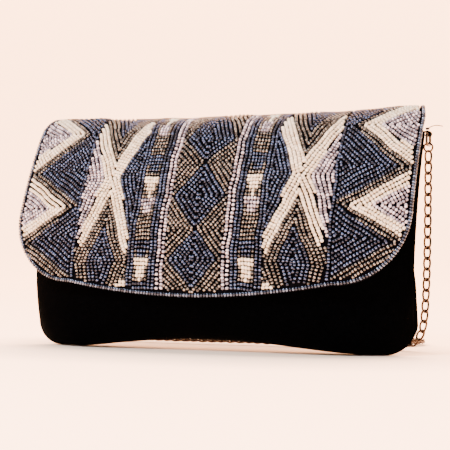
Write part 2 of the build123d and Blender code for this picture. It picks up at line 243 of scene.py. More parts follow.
class FlapChart:
    """The beaded face by x across the flap and s down it from its back end, in mm."""

    X_STEP = 2
    S_STEP = 0.5
    S_LENGTH = 168
    FOLD_ROWS = 59  # rows over the fold; the lower edge is looked for beyond them
    OUTWARDS = -1

    def __init__(self):
        self.xs = np.arange(-138, 138.1, self.X_STEP)
        self.ss = np.arange(0, self.S_LENGTH + 0.1, self.S_STEP)
        share = np.linspace(0, 1, 900)
        columns = []
        for x in self.xs:
            line = flap_face(np.full_like(share, x), share)
            length = run_lengths(line)
            columns.append(np.stack([np.interp(self.ss, length, axis) for axis in line.T], -1))
        smooth = np.array(columns)
        self.pucker(smooth, grid_normals(smooth) * self.OUTWARDS)

    def pucker(self, smooth, normals):
        """Lifts the smooth face a little, in soft waves that are strongest over the top."""
        x, s = np.meshgrid(self.xs, self.ss, indexing="ij")
        over_top = np.exp(-(((s - 20) / 16) ** 2))
        waves = 0.5 * np.sin(x / 8.3 + 0.9) + 0.35 * np.sin(x / 4.1 - s / 23)
        gentle = np.sin(x / 19 + s / 27) * np.sin(s / 21 + 0.6)
        self.grid = smooth + normals * (0.55 * over_top * waves + 0.3 * gentle)[..., None]
        self.normals = grid_normals(self.grid) * self.OUTWARDS

    def read(self, table, x, s):
        """Bilinear reading of a table kept at the chart's grid."""
        across = np.clip((x - self.xs[0]) / self.X_STEP, 0, len(self.xs) - 1.001)
        down = np.clip(s / self.S_STEP, 0, len(self.ss) - 1.001)
        i, j = across.astype(int), down.astype(int)
        a, b = (across - i)[..., None], (down - j)[..., None]
        upper = table[i, j] * (1 - a) + table[i + 1, j] * a
        lower = table[i, j + 1] * (1 - a) + table[i + 1, j + 1] * a
        return upper * (1 - b) + lower * b

    def point(self, x, s, depth=0):
        return self.read(self.grid, x, s) - self.normal(x, s) * np.asarray(depth)[..., None]

    def normal(self, x, s):
        return unit(self.read(self.normals, x, s))

    def leaning(self, x):
        """v and n down the column at x."""
        i = int(round((x - self.xs[0]) / self.X_STEP))
        y, z = self.grid[i, :, 1] - FOOT_Y, self.grid[i, :, 2] - FOOT_Z
        v = math.sin(LEAN) * y + math.cos(LEAN) * z
        n = math.sin(LEAN) * z - math.cos(LEAN) * y
        return v, n

    def lower_edge(self, x):
        """s of the flap's lower edge at x: a gentle arc, then round corners."""
        x = abs(x)
        if x > FLAP_CORNER_X:
            into = min(x - FLAP_CORNER_X, FLAP_CORNER_RADIUS)
            radius, lowest_v = FLAP_CORNER_RADIUS, FLAP_CORNER_V
        else:
            rise = FLAP_CORNER_V - FLAP_EDGE_V
            into, lowest_v = x, FLAP_EDGE_V
            radius = (FLAP_CORNER_X**2 + rise**2) / (2 * rise)
        edge_v = lowest_v + radius - math.sqrt(radius**2 - into * into)
        past_fold = slice(None, self.FOLD_ROWS, -1)
        return np.interp(edge_v, self.leaning(x)[0][past_fold], self.ss[past_fold])

    def half_width(self, s):
        """Half the flap's width at s: it narrows over the top and to its back end."""
        line_v, line_n = self.leaning(FLAP_HALF_WIDTH)
        side_v = np.interp(s, self.ss, line_v)
        side_n = np.interp(s, self.ss, line_n)
        above = np.clip((side_v - FLAP_SHOULDER_V) / (FLAP_TOP_V - FLAP_SHOULDER_V), 0, 1)
        behind = np.clip((FLAP_TURN_N - side_n) / (FLAP_TURN_N - FLAP_BACK_N), 0, 1)
        over_top = between(FLAP_HALF_WIDTH, FLAP_TOP_HALF_WIDTH, above)
        rounding = 1.6 * np.exp(-(((s - 17) / 7) ** 2))
        return np.minimum(over_top, between(FLAP_HALF_WIDTH, FLAP_BACK_HALF_WIDTH, behind)) - rounding


# ---- mesh helpers ----
def add_object(name, data):
    item = bpy.data.objects.new(name, data)
    bpy.context.scene.collection.objects.link(item)
    return item


def make_object(name, vertices, faces, material, smooth=True):
    """A mesh object from vertices in millimetres."""
    mesh = bpy.data.meshes.new(name)
    mesh.from_pydata((np.asarray(vertices) * MM).tolist(), [], faces)
    mesh.validate()
    mesh.update()
    piece = add_object(name, mesh)
    piece.data.materials.append(material)
    if smooth:
        mesh.polygons.foreach_set("use_smooth", [True] * len(mesh.polygons))
    return piece


def grid_faces(numbers):
    """The quads of a grid of vertex numbers."""
    corners = (numbers[:-1, :-1], numbers[1:, :-1], numbers[1:, 1:], numbers[:-1, 1:])
    return np.stack(corners, axis=-1).reshape(-1, 4).tolist()


def rim(table):
    """The outer entries of a table, once round."""
    around = (table[0], table[1:, -1], table[-1, -2::-1], table[-2:0:-1, 0])
    return np.concatenate(around).tolist()


def shell(name, outer, inner, material, edge_swell=0.35):
    """A closed sheet between two matching grids, with a rounded rim."""
    flat_outer, flat_inner = outer.reshape(-1, 3), inner.reshape(-1, 3)
    count = len(flat_outer)
    numbers = np.arange(count).reshape(outer.shape[:2])
    edge = rim(numbers)
    neighbours = rim(np.pad(numbers[1:-1, 1:-1], 1, mode="edge"))
    middle = (flat_outer + flat_inner) / 2
    outwards = unit(middle[edge] - middle[neighbours])
    thickness = np.linalg.norm(flat_outer[edge] - flat_inner[edge], axis=1, keepdims=True)
    swollen = middle[edge] + outwards * thickness * edge_swell
    vertices = np.concatenate([flat_outer, flat_inner, swollen])
    vertices[:, 2] = np.maximum(vertices[:, 2], FLOOR_CLEARANCE)
    faces = grid_faces(numbers) + [face[::-1] for face in grid_faces(numbers + count)]
    for k, a in enumerate(edge):
        following = (k + 1) % len(edge)
        b, c, d = edge[following], 2 * count + k, 2 * count + following
        faces.append((b, a, c, d))
        faces.append((d, c, count + a, count + b))
    piece = make_object(name, vertices, faces, material)
    recalculate(piece)
    return piece


def recalculate(piece):
    """Turns every face outwards."""
    work = bmesh.new()
    work.from_mesh(piece.data)
    bmesh.ops.recalc_face_normals(work, faces=work.faces)
    work.to_mesh(piece.data)
    work.free()


def ring_faces(a, b, count):
    """The quads between two rings of count vertices that start at a and at b."""
    turns = [(k, (k + 1) % count) for k in range(count)]
    return [(a + k, a + turn, b + turn, b + k) for k, turn in turns]


def tube(path, radius, sides=8, closed=False):
    """Vertices and faces of a round tube along points, in millimetres."""
    path = np.asarray(path, float)
    if closed:
        tangents = unit(np.roll(path, -1, axis=0) - np.roll(path, 1, axis=0))
    else:
        tangents = unit(np.gradient(path, axis=0))
    normal = unit(np.cross(tangents[0], [0.31, 0.17, 0.93]))
    vertices = []
    for point, tangent in zip(path, tangents):
        normal = unit(normal - tangent * np.dot(normal, tangent))
        side = np.cross(tangent, normal)
        for k in range(sides):
            angle = 2 * math.pi * k / sides
            vertices.append(point + radius * (normal * math.cos(angle) + side * math.sin(angle)))
    faces = []
    count = len(path)
    for i in range(count if closed else count - 1):
        faces += ring_faces(i * sides, (i + 1) % count * sides, sides)
    if not closed:
        faces.append(tuple(range(sides))[::-1])
        faces.append(tuple(range((count - 1) * sides, count * sides)))
    return np.array(vertices), faces


def attach(piece, body, node):
    """Says which body a piece rides on, which CAD node it stands for."""
    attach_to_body(piece, body)
    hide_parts(node)


def join_parts(parts):
    """Several (vertices, faces) as one."""
    vertices, faces, offset = [], [], 0
    for part_vertices, part_faces in parts:
        vertices.append(part_vertices)
        faces.extend(tuple(index + offset for index in face) for face in part_faces)
        offset += len(part_vertices)
    return np.concatenate(vertices), faces


# ---- materials ----
def new_material(name, base, roughness, metallic=0, **sockets):
    """A Principled material; returns it with its node tree and shader."""
    material = bpy.data.materials.new(name)
    material.use_nodes = True
    shader = material.node_tree.nodes["Principled BSDF"]
    sockets.update(Base_Color=(*base, 1), Roughness=roughness, Metallic=metallic)
    for socket, value in sockets.items():
        shader.inputs[socket.replace("_", " ")].default_value = value
    return material, material.node_tree, shader


def add_node(tree, kind, **values):
    node = tree.nodes.new(f"ShaderNode{kind}")
    for key, value in values.items():
        if hasattr(node, key):
            setattr(node, key, value)
        else:
            node.inputs[key.replace("_", " ")].default_value = value
    return node


def noise_height(tree, scale, detail=3):
    """A noise through the piece, from 0 to 1."""
    place = add_node(tree, "TexCoord").outputs["Object"]
    noise = add_node(tree, "TexNoise", Scale=scale, Detail=detail)
    tree.links.new(place, noise.inputs["Vector"])
    return noise.outputs["Fac"]


def blend_colour(tree, shader, source, low, high):
    """Base colour that follows source from low to high."""
    ramp = add_node(tree, "ValToRGB")
    for stop, position, colour in zip(ramp.color_ramp.elements, (0.3, 0.7), (low, high)):
        stop.position = position
        stop.color = (*colour, 1)
    tree.links.new(source, ramp.inputs["Fac"])
    tree.links.new(ramp.outputs["Color"], shader.inputs["Base Color"])


def uneven_colour(tree, shader, base, darkest, lightest, scale):
    """Base colour that wanders between two shares of base."""
    low, high = (tuple(channel * share for channel in base) for share in (darkest, lightest))
    blend_colour(tree, shader, noise_height(tree, scale, 4), low, high)


def bump(tree, shader, height, distance, strength):
    node = add_node(tree, "Bump", Strength=strength, Distance=distance)
    tree.links.new(height, node.inputs["Height"])
    tree.links.new(node.outputs["Normal"], shader.inputs["Normal"])


def weave_height(tree, pitch):
    """A plain weave: two crossed waves across the cloth."""
    place = add_node(tree, "TexCoord").outputs["Object"]
    total = add_node(tree, "Math", operation="ADD")
    for k, direction in enumerate("XZ"):
        wave = add_node(tree, "TexWave", Scale=0.31 / pitch)
        wave.bands_direction = direction
        tree.links.new(place, wave.inputs["Vector"])
        tree.links.new(wave.outputs["Fac"], total.inputs[k])
    return total.outputs[0]


def bead_material(name, low, high, roughness, metallic, coat):
    """Glass or lustred beads, each a little lighter or darker than the next."""
    material, tree, shader = new_material(
        name, high, roughness, metallic, Coat_Weight=coat, Coat_Roughness=0.12
    )
    tone = add_node(tree, "Attribute", attribute_name="bead_tone")
    blend_colour(tree, shader, tone.outputs["Fac"], low, high)
    return material


def velvet_material(name, base, sheen):
    material, tree, shader = new_material(
        name, base, 0.95, Sheen_Weight=sheen, Sheen_Roughness=0.45, Specular_IOR_Level=0.008
    )
    shader.inputs["Sheen Tint"].default_value = (0.55, 0.55, 0.62, 1)
    uneven_colour(tree, shader, base, 0.6, 1.5, 320)
    bump(tree, shader, noise_height(tree, 2600), 0.35 * MM, 0.55)
    return material


def cloth_material(name, base, roughness, pitch, sheen=0.2, gloss=0.5):
    material, tree, shader = new_material(
        name, base, roughness, Sheen_Weight=sheen, Specular_IOR_Level=gloss
    )
    uneven_colour(tree, shader, base, 0.8, 1.15, 180)
    bump(tree, shader, weave_height(tree, pitch), 0.12 * MM, 0.5)
    return material


def metal_material(name, base, roughness, wear=0.25):
    """Plated metal, with fine scratches and a slightly uneven colour."""
    material, tree, shader = new_material(name, base, roughness, 1)
    uneven_colour(tree, shader, base, 1 - wear, 1, 420)
    bump(tree, shader, noise_height(tree, 900), 0.04 * MM, 0.35)
    return material


NAVY_BEAD = bead_material("navy_beads", (0.007, 0.011, 0.029), (0.06, 0.087, 0.176), 0.19, 0.8, 0.5)
BRONZE_BEAD = bead_material("bronze_beads", (0.034, 0.03, 0.028), (0.205, 0.18, 0.158), 0.19, 0.75, 0.9)
IVORY_BEAD = bead_material("ivory_beads", (0.74, 0.62, 0.46), (0.95, 0.85, 0.69), 0.34, 0, 0.3)
LILAC_BEAD = bead_material("lilac_beads", (0.22, 0.2, 0.26), (0.74, 0.66, 0.76), 0.2, 0.35, 1)
EDGE_BEAD = bead_material("edge_beads", (0.015, 0.022, 0.044), (0.11, 0.145, 0.23), 0.19, 0.8, 0.5)
VELVET_BLACK = velvet_material("black_velvet", (0.0002, 0.00025, 0.0004), 0.002)
FLAP_GROUND = velvet_material("flap_ground", (0.0016, 0.0016, 0.0026), 0.01)
LINING_SATIN = cloth_material("black_satin", (0.0045, 0.0045, 0.0055), 0.46, 0.35 * MM, 0.02, 0.12)
BINDING = cloth_material("black_binding", (0.012, 0.012, 0.014), 0.6, 0.6 * MM)
TAPE = cloth_material("stay_tape", (0.03, 0.03, 0.03), 0.8, 0.5 * MM)
BOARD = cloth_material("interlining_board", (0.74, 0.71, 0.64), 0.85, 0.4 * MM, 0)
ROSE_GOLD = metal_material("rose_gold_plate", (0.105, 0.066, 0.043), 0.26, 0.5)
NICKEL = metal_material("nickel_plate", (0.34, 0.33, 0.31), 0.27)
MAGNET = metal_material("ferrite_magnet", (0.07, 0.07, 0.075), 0.5)
THREAD = cloth_material("brown_thread", (0.035, 0.018, 0.012), 0.7, 0.2 * MM)


# ---- the beaded pattern ----
# Places on the flap are (x, s): x across it, s down it from its back end, in mm.
# A patch is a convex outline, and its bead rows run parallel to its first side.
ROW = 2.62
IVORY_ROW = 2.5
PITCH = 2.1
TOP = 9
BOTTOM = 170
EDGE = 136

# the zigzag at the side: ivory outside this line, bronze inside it
ZIG_TOP = (136, 9)
ZIG_UPPER = (96, 45)
ZIG_OUTER = (132, 75.6)
ZIG_LOWER = (94.4, 102.1)
ZIG_END = (131.5, 123.3)
# where the ivory band meets the lilac triangles
LILAC_TOP = (137, 21)
LILAC_UPPER = (105.5, 44.4)
LILAC_SIDE_A = (131.5, 62)
LILAC_SIDE_B = (131.5, 86.4)
LILAC_LOWER = (107.8, 101.6)
LILAC_END = (131.5, 116.6)
# where the bronze band meets the navy triangles
NAVY_TOP = (128.6, 9)
NAVY_UPPER = (90.9, 45.8)
NAVY_OUTER = (123.2, 75.4)
NAVY_LOWER = (87.4, 102)
NAVY_END = (122.4, 124.6)
# the upright navy line between zigzag and cross
LINE_OUT = 87.2
LINE_IN = 84.6
NAVY_FOOT = (88, 147.6)
# the ivory cross
CROSS = (64.6, 85.4)
CROSS_TOP = (64.4, 72.2)
CROSS_FOOT = (63.8, 96.8)
CROSS_OUT = (70.3, 83.6)
CROSS_IN = (58.9, 83.2)
OUT_TIP = (84.6, 31.6)
OUT_HEEL = (84.6, 49.2)
IN_TIP = (49.4, 34.4)
IN_HEEL = (45.6, 48.8)
LOW_OUT_TIP = (79.2, 131.2)
LOW_OUT_HEEL = (83.6, 125.4)
LOW_IN_TIP = (48.2, 136)
LOW_IN_HEEL = (45.6, 124.8)
# where the rows under the cross turn inwards
TURN_S = 141
# the upright column of blocks, with two navy rows on each side
COLUMN_OUT = 45.6
BLOCK_OUT = 40.4
BLOCK_IN = 30.2
COLUMN_IN = 24.9
STRIP_IN = 19
STRIP_PITCH = 2.45
STRIP_SPREAD = 1.5
# the three navy diamonds: top, side and bottom of each
DIAMONDS = [
    ((0, 21), (16.8, 58), (0, 75)),
    ((0, 75), (18, 99.4), (0, 121.4)),
    ((0, 121.4), (16.8, 140.4), (0, 159.4)),
]


def patch(colour, *outline, row=ROW, border=0, core=()):
    """border is how many bronze rows come before colour, counted from the first side.
    core is the colour of a row's middle beads, and how many beads at each end keep the
    patch's colour, in its first and in its last row."""
    return {"colour": colour, "outline": outline, "row": row, "border": border, "core": core}


def ivory(*outline):
    return patch("ivory", *outline, row=IVORY_ROW)


def bordered(*outline):
    """Navy, behind three rows of bronze."""
    return patch("navy", *outline, border=3)


def zigzag_patches():
    middle_top = (EDGE, 43)
    middle_low = (EDGE, 101.4)
    navy_heart = (LINE_OUT, 75.3)
    navy_low_heart = (LINE_OUT, 121.5)
    return [
        patch("lilac", LILAC_UPPER, LILAC_TOP, middle_top),
        patch("lilac", LILAC_UPPER, LILAC_SIDE_A, (EDGE, 65), middle_top),
        patch("lilac", LILAC_LOWER, LILAC_SIDE_B, (EDGE, 83.6), middle_low),
        patch("lilac", LILAC_LOWER, LILAC_END, (EDGE, 118), middle_low),
        ivory(ZIG_UPPER, ZIG_TOP, LILAC_TOP, LILAC_UPPER),
        ivory(ZIG_UPPER, ZIG_OUTER, LILAC_SIDE_A, LILAC_UPPER),
        ivory(ZIG_LOWER, ZIG_OUTER, LILAC_SIDE_B, LILAC_LOWER),
        ivory(ZIG_LOWER, ZIG_END, LILAC_END, LILAC_LOWER),
        patch("bronze", ZIG_UPPER, ZIG_TOP, NAVY_TOP, NAVY_UPPER),
        patch("bronze", ZIG_UPPER, ZIG_OUTER, NAVY_OUTER, NAVY_UPPER),
        patch("bronze", ZIG_LOWER, ZIG_OUTER, NAVY_OUTER, NAVY_LOWER),
        patch("bronze", ZIG_LOWER, ZIG_END, NAVY_END, NAVY_LOWER),
        patch("navy", NAVY_UPPER, NAVY_TOP, (87, TOP), (86, 46)),
        patch("navy", NAVY_UPPER, NAVY_OUTER, navy_heart, (LINE_OUT, 46.4)),
        patch("navy", NAVY_LOWER, NAVY_OUTER, navy_heart),
        patch("navy", NAVY_LOWER, NAVY_END, navy_low_heart),
        patch("navy", NAVY_FOOT, NAVY_END, navy_low_heart),
        patch("navy", (LINE_OUT, 46.4), (LINE_OUT, 150), (LINE_IN, 150), (LINE_IN, 46.4)),
        patch("bronze", NAVY_FOOT, NAVY_END, (EDGE, 124), (EDGE, BOTTOM), (88, BOTTOM)),
    ]


def cross_patches():
    heart = (LINE_IN, 83.6)
    out_root = (83.6, TURN_S)
    in_root = (COLUMN_OUT, TURN_S)
    return [
        ivory(OUT_TIP, CROSS_TOP, CROSS, CROSS_OUT, OUT_HEEL),
        ivory(IN_TIP, CROSS_TOP, CROSS, CROSS_IN, IN_HEEL, (46.6, 36)),
        ivory(CROSS_FOOT, LOW_OUT_TIP, LOW_OUT_HEEL, CROSS_OUT, CROSS),
        ivory(CROSS_FOOT, LOW_IN_TIP, (COLUMN_OUT, 136), LOW_IN_HEEL, CROSS_IN, CROSS),
        patch("lilac", OUT_HEEL, CROSS_OUT, heart),
        patch("lilac", LOW_OUT_HEEL, CROSS_OUT, heart, (LINE_IN, 127)),
        bordered(CROSS_TOP, OUT_TIP, (LINE_IN, TOP), (65.6, TOP)),
        bordered(CROSS_TOP, (COLUMN_OUT, 24.8), (COLUMN_OUT, TOP), (65.6, TOP)),
        patch("navy", IN_HEEL, CROSS_IN, (COLUMN_OUT, 83.2)),
        patch("navy", LOW_IN_HEEL, CROSS_IN, (COLUMN_OUT, 83.2)),
        bordered(CROSS_FOOT, out_root, (64.4, TURN_S)),
        bordered(CROSS_FOOT, in_root, (64.4, TURN_S)),
        patch("bronze", LOW_OUT_TIP, out_root, (LINE_IN, TURN_S), (LINE_IN, 129)),
        patch("bronze", LOW_IN_TIP, in_root, (COLUMN_OUT, 136)),
        bordered((84.4, TURN_S), (78, BOTTOM), (64.4, BOTTOM), (64.4, TURN_S)),
        bordered((COLUMN_OUT, TURN_S), (58, BOTTOM), (64.4, BOTTOM), (64.4, TURN_S)),
        patch("ivory", (84.4, 146), (84.4, BOTTOM), (79.6, BOTTOM)),
        patch("bronze", (COLUMN_OUT, TURN_S), (51, 153.6), (COLUMN_OUT, 153.6)),
        patch("ivory", (COLUMN_OUT, 153.6), (COLUMN_OUT, BOTTOM), (58, BOTTOM), (51, 153.6)),
    ]


def column_patches():
    """The blocks of the upright column, as where each ends and its core, and the rows
    beside them."""
    blocks = [
        (26,),
        (42, "ivory", (1, 2)),
        (52.5, "lilac", (1, 1)),
        (68.6,),
        (80.8, "navy", (0, 1)),
        (84.2,),
        (99.4, "ivory", (0, 2)),
        (110, "lilac", (0, 1)),
        (128.6,),
        (139.6, "navy", (0, 1)),
        (154.4, "ivory", (0, 1.6)),
        (BOTTOM, "navy", (0, 0)),
    ]
    patches = []
    start = TOP
    for end, *core in blocks:
        corners = ((BLOCK_IN, start), (BLOCK_OUT, start), (BLOCK_OUT, end), (BLOCK_IN, end))
        row = (end - start) / max(1, round((end - start) / ROW))
        patches.append(patch("bronze", *corners, row=row, core=core))
        start = end
    for inner, outer in ((BLOCK_OUT, COLUMN_OUT), (COLUMN_IN, BLOCK_IN)):
        patches.append(patch("navy", (inner, TOP), (inner, BOTTOM), (outer, BOTTOM), (outer, TOP)))
    return patches


def centre_patches():
    """Diamonds with nested rows, and bronze between them."""
    patches = []
    for top, side, bottom in DIAMONDS:
        heart = (0, side[1])
        for tip, far in ((top, TOP), (bottom, BOTTOM)):
            patches.append(patch("navy", tip, side, heart))
            inner = tip in (DIAMONDS[0][0], DIAMONDS[-1][2])
            beyond = ((STRIP_IN, far), (0, far)) if inner else ((STRIP_IN, tip[1]),)
            patches.append(patch("bronze", tip, side, (STRIP_IN, side[1]), *beyond))
    return patches


def strip_beads():
    """The lilac strips beside the diamonds: pairs that slant one way, then the other."""
    turns = [TOP] + [level for _, side, bottom in DIAMONDS for level in (side[1], bottom[1])]
    turns.append(BOTTOM)
    middle = (STRIP_IN + COLUMN_IN) / 2
    beads = []
    for k in range(int((BOTTOM - TOP) / STRIP_PITCH)):
        s = TOP + (k + 0.5) * STRIP_PITCH
        slope = float(np.interp(s, turns, [(-1) ** m for m in range(len(turns))]))
        for offset in (-STRIP_SPREAD, STRIP_SPREAD):
            beads.append((middle + offset, s + slope * offset, 0.5 * slope, 1, "lilac"))
    return beads


def clip_line(sides, origin, direction):
    """The stretch of a line inside a convex outline, as distances from its origin."""
    low, high = -1e9, 1e9
    turn = math.copysign(1, sum(ax * by - bx * ay for (ax, ay), (bx, by) in sides))
    for (ax, ay), (bx, by) in sides:
        nx, ny = -(by - ay) * turn, (bx - ax) * turn
        speed = nx * direction[0] + ny * direction[1]
        gap = nx * (origin[0] - ax) + ny * (origin[1] - ay)
        if abs(speed) < 1e-9:
            if gap < 0:
                return None
        elif speed > 0:
            low = max(low, -gap / speed)
        else:
            high = min(high, -gap / speed)
    return (low, high) if high > low else None


def lay_rows(item):
    """The beads of one patch, as (x, s, direction x, direction s, colour)."""
    outline = item["outline"]
    sides = list(zip(outline, outline[1:] + outline[:1]))
    (ax, ay), (bx, by) = outline[:2]
    length = math.hypot(bx - ax, by - ay)
    direction = ((bx - ax) / length, (by - ay) / length)
    across = (-direction[1], direction[0])
    width = max((across[0] * (x - ax) + across[1] * (y - ay) for x, y in outline), key=abs)
    rows = max(1, int(abs(width) / item["row"] + 0.4))
    beads = []
    for k in range(rows):
        offset = width / rows * (k + 0.5)
        origin = (ax + across[0] * offset, ay + across[1] * offset)
        stretch = clip_line(sides, origin, direction)
        if stretch is None:
            continue
        low, high = stretch
        count = int((high - low) / PITCH + 0.5)
        row_colour = "bronze" if k < item["border"] else item["colour"]
        core_colour, flank = row_colour, 0
        if item["core"]:
            core_colour, ends = item["core"]
            flank = round(between(*ends, k / max(1, rows - 1)))
        for m in range(count):
            at = low + (high - low) * (m + 0.5) / count
            colour = core_colour if flank <= m < count - flank else row_colour
            place = (origin[0] + direction[0] * at, origin[1] + direction[1] * at)
            beads.append((*place, *direction, colour))
    return beads


# ---- beads ----
BEAD_PROFILE = [
    (0.32, -0.64), (0.64, -0.86), (0.99, -0.55), (1.14, 0), (0.99, 0.55), (0.64, 0.86), (0.32, 0.64),
]
BEAD_SIDES = 8
IVORY_SIZE = (1.1, 1.05)
BEAD_DEPTH = 1.22
EDGE_BEAD_DEPTH = 1.15
EDGE_BEAD_PITCH = 1.95
EDGE_BEAD_INSET = 1.35
# how clear the field's beads stay of those round the edge
SIDE_GAP = 0.7
LOWER_GAP = 0.6
CORNER_GAP = 1
CORNER_FROM_S = 60


def bead_shape():
    """One drilled bead along the first axis, at real size."""
    vertices = []
    for radius, along in BEAD_PROFILE:
        for k in range(BEAD_SIDES):
            angle = 2 * math.pi * (k + 0.5) / BEAD_SIDES
            vertices.append((along, radius * math.cos(angle), radius * math.sin(angle)))
    faces = []
    for ring in range(len(BEAD_PROFILE)):
        a, b = ring * BEAD_SIDES, (ring + 1) % len(BEAD_PROFILE) * BEAD_SIDES
        for k in range(BEAD_SIDES):
            turn = (k + 1) % BEAD_SIDES
            faces.append((a + k, b + k, b + turn, a + turn))
    return np.array(vertices), np.array(faces)


def string_beads(name, places, axes, normals, material, size=(1, 1), jitter=0.05):
    """A run of beads as one mesh, each with its own small tilt, size and tone."""
    rng = np.random.default_rng(SEED + len(name))
    shape, faces = bead_shape()
    count = len(places)
    axes = unit(axes + rng.normal(0, jitter, (count, 3)))
    normals = unit(normals - axes * np.sum(axes * normals, axis=1, keepdims=True))
    sides = np.cross(axes, normals)
    scale = 1 + rng.normal(0, 0.035, (count, 3))
    scale[:, 0] *= size[0]
    scale[:, 1:] *= size[1]
    local = shape[None] * scale[:, None, :]
    vertices = (
        places[:, None]
        + local[..., 0:1] * axes[:, None]
        + local[..., 1:2] * sides[:, None]
        + local[..., 2:3] * normals[:, None]
    ).reshape(-1, 3)
    all_faces = (faces[None] + (np.arange(count) * len(shape))[:, None, None]).reshape(-1, 4)
    piece = make_object(name, vertices, all_faces.tolist(), material)
    tone = piece.data.attributes.new("bead_tone", "FLOAT", "POINT")
    tones = np.repeat(rng.uniform(0, 1, count), len(shape)).astype(np.float32)
    tone.data.foreach_set("value", tones)
    return piece


def sewn_by_hand(x, s):
    """Where beads really end up: rows wander a little, and not the same on both sides."""
    rng = np.random.default_rng(SEED)
    sway = 0.34
    shift_x = sway * (np.sin(s / 6.1 + x / 17) + 0.7 * np.sin(s / 2.9 - x / 5.3 + 1))
    shift_s = sway * (np.sin(x / 5.7 + s / 15 + 2) + 0.7 * np.sin(x / 3.1 + s / 7.7))
    loose = rng.normal(0, 0.1, (2, len(x)))
    return x + shift_x + loose[0], s + shift_s + loose[1]


def fits(chart, x, s):
    """Whether a bead at x and s stays clear of the beads round the flap's edge."""
    if s < TOP or x > chart.half_width(s) - EDGE_WIDTH - SIDE_GAP:
        return False
    if s > chart.lower_edge(x) - EDGE_WIDTH - LOWER_GAP:
        return False
    beside = min(x + EDGE_WIDTH + CORNER_GAP, FLAP_HALF_WIDTH)
    return s <= CORNER_FROM_S or s <= chart.lower_edge(beside) + CORNER_GAP


def build_bead_field(chart):
    """Every sewn bead of the flap, gathered by colour and by side of the flap."""
    patches = zigzag_patches() + cross_patches() + column_patches() + centre_patches()
    beads = [bead for item in patches for bead in lay_rows(item)] + strip_beads()
    groups = {}
    for x, s, dx, ds, colour in beads:
        if fits(chart, abs(x), s):
            groups.setdefault((colour, "left"), []).append((-x, s, -dx, ds))
            groups.setdefault((colour, "right"), []).append((x, s, dx, ds))
    materials = {"navy": NAVY_BEAD, "bronze": BRONZE_BEAD, "ivory": IVORY_BEAD, "lilac": LILAC_BEAD}
    for (colour, side), rows in sorted(groups.items()):
        rows = np.array(rows)
        x, s = sewn_by_hand(rows[:, 0], rows[:, 1])
        depth = np.full(len(rows), BEAD_DEPTH)
        places = chart.point(x, s, depth)
        axes = unit(chart.point(x + rows[:, 2] * 0.5, s + rows[:, 3] * 0.5, depth) - places)
        size = IVORY_SIZE if colour == "ivory" else (1, 1)
        name = f"beads_{colour}_{side}"
        piece = string_beads(name, places, axes, chart.normal(x, s), materials[colour], size)
        attach(piece, "flap", "bead_field")


def outline_path(chart):
    """The flap's free outline as (x, s), from the left back end round to the right."""
    sides = []
    s = 6
    while s < chart.lower_edge(FLAP_HALF_WIDTH):
        sides.append((chart.half_width(s) - EDGE_BEAD_INSET, s))
        s += 0.5
    for angle in np.linspace(0, math.pi / 2, 140)[1:]:
        x = FLAP_HALF_WIDTH * math.cos(angle)
        inset = EDGE_BEAD_INSET * x / FLAP_HALF_WIDTH
        sides.append((x - inset, chart.lower_edge(x) - EDGE_BEAD_INSET))
    half = np.array(sides)
    return np.concatenate([half * (-1, 1), half[::-1][1:]])


def build_edge_beads(chart):
    """Beads whipped over the flap's edge, each square to it."""
    path = outline_path(chart)
    points = chart.point(path[:, 0], path[:, 1], np.full(len(path), EDGE_BEAD_DEPTH))
    length = run_lengths(points)
    count = int(length[-1] / EDGE_BEAD_PITCH)
    at = (np.arange(count) + 0.5) * length[-1] / count
    x, s = (np.interp(at, length, column) for column in path.T)
    places = chart.point(x, s, np.full(count, EDGE_BEAD_DEPTH))
    normals = chart.normal(x, s)
    axes = np.cross(unit(np.gradient(places, axis=0)), normals)
    beads = string_beads("edge_beads", places, axes, normals, EDGE_BEAD, size=(1.35, 0.8), jitter=0.07)
    attach(beads, "flap", "flap_edge_beading")


# ---- the flap's cloth ----
def flap_grid(chart, depth, inset, start_s=0, columns=121, rows=101):
    """A grid over the flap at a depth, drawn in from its outline by inset."""
    angles = np.linspace(-math.pi / 2, math.pi / 2, columns)
    grid = np.empty((columns, rows, 3))
    for i, angle in enumerate(angles):
        full_x = FLAP_HALF_WIDTH * math.sin(angle)
        end_s = chart.lower_edge(full_x) - inset
        s = np.linspace(start_s, end_s, rows)
        x = math.sin(angle) * (chart.half_width(s) - inset)
        grid[i] = chart.point(x, s, np.full(rows, depth))
    return grid


def build_flap_cloth(chart):
    """The ground the beads are sewn to, which shows between them and at the edge."""
    seam = FLAP_THICKNESS - LINING
    outer = flap_grid(chart, GROUND_DEPTH, GROUND_INSET)
    ground = shell("flap_ground_cloth", outer, flap_grid(chart, seam - 0.15, GROUND_INSET), FLAP_GROUND)
    attach(ground, "flap", "flap_backing")
    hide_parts("flap_stiffener")
    outer = flap_grid(chart, seam - 0.1, LINING_INSET, 1)
    inner = flap_grid(chart, FLAP_THICKNESS, LINING_INSET, 1)
    attach(shell("flap_satin_lining", outer, inner, LINING_SATIN), "flap", "flap_lining")


